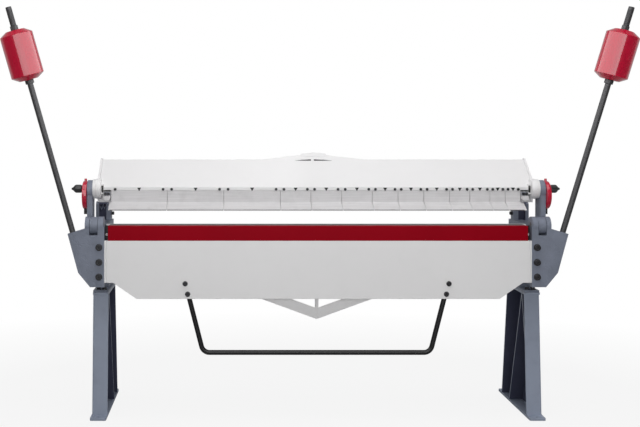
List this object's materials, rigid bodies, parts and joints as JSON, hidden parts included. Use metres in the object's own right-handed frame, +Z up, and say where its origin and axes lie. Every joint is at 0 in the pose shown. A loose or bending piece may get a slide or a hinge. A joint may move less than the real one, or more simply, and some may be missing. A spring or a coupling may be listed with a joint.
{
  "type": "manual sheet metal bending machine",
  "caption": "Manual sheet metal bending machine with segmented clamping beam, hinged bending leaf, pull handle and counterweights on open stands.",
  "frame": {"origin": "floor level, centre of the four anchor holes of the two stands", "axes": "+X to the right along the bed, seen from the operator's side, +Y to the back, away from the operator, +Z up"},
  "size_m": [3.7918, 0.9295, 2.4926],
  "materials": {
    "stand_paint": "satin grey blue paint",
    "casting_paint": "slate grey paint",
    "white_paint": "satin white paint",
    "finger_steel": "ground steel",
    "bare_steel": "machined steel",
    "bar_red": "satin deep red paint",
    "gloss_red": "gloss red paint",
    "rod_steel": "dark oiled steel",
    "black_fasteners": "black oxide",
    "black_paint": "satin black powder coat",
    "knob_plastic": "moulded black"
  },
  "bodies": {
    "frame": {"left_base_plate": "stand_paint", "right_base_plate": "stand_paint", "left_stand_shell": "stand_paint", "right_stand_shell": "stand_paint", "left_stand_top_plate": "stand_paint", "right_stand_top_plate": "stand_paint", "left_stand_brace": "stand_paint", "right_stand_brace": "stand_paint", "left_side_frame": "casting_paint", "right_side_frame": "casting_paint", "hinge_pins": "bare_steel", "guide_pins": "bare_steel", "foot_bolts": "black_fasteners", "bed_beam": "white_paint", "bed_rail": "bare_steel", "left_bed_truss_bar": "white_paint", "right_bed_truss_bar": "white_paint", "bed_truss_screw": "bare_steel"},
    "clamping_beam": {"beam_shell": "white_paint", "left_beam_end": "white_paint", "right_beam_end": "white_paint", "beam_truss": "white_paint", "beam_truss_screw": "white_paint", "fingers_350": "finger_steel", "fingers_190": "finger_steel", "fingers_160": "finger_steel", "fingers_125": "finger_steel", "fingers_95": "finger_steel", "left_clamp_arm": "casting_paint", "right_clamp_arm": "casting_paint"},
    "bending_leaf": {"leaf_apron": "white_paint", "bending_bar": "bar_red", "left_leaf_casting": "casting_paint", "right_leaf_casting": "casting_paint", "leaf_bolts": "black_fasteners", "left_counter_rod": "rod_steel", "right_counter_rod": "rod_steel", "left_counterweight": "gloss_red", "right_counterweight": "gloss_red", "weight_nuts": "rod_steel", "handle": "black_paint"},
    "left_cam": {"left_cam_disc": "gloss_red", "left_star_knob": "knob_plastic"},
    "right_cam": {"right_cam_disc": "gloss_red", "right_star_knob": "knob_plastic"}
  },
  "joints": [
    {"name": "leaf_hinge", "type": "hinge", "parent": "frame", "child": "bending_leaf", "pos_m": [0, -0.3155, 1.18], "axis": [-1, 0, 0], "range_deg": [0, 135]},
    {"name": "beam_slide", "type": "slide", "parent": "frame", "child": "clamping_beam", "axis": [0, 0, 1], "range_m": [-0.083, 0]},
    {"name": "left_cam_turn", "type": "hinge", "parent": "clamping_beam", "child": "left_cam", "pos_m": [-1.4275, -0.1975, 1.396], "axis": [1, 0, 0], "range_deg": [0, 180]},
    {"name": "right_cam_turn", "type": "hinge", "parent": "clamping_beam", "child": "right_cam", "pos_m": [1.4275, -0.1975, 1.396], "axis": [1, 0, 0], "range_deg": [0, 180]}
  ]
}
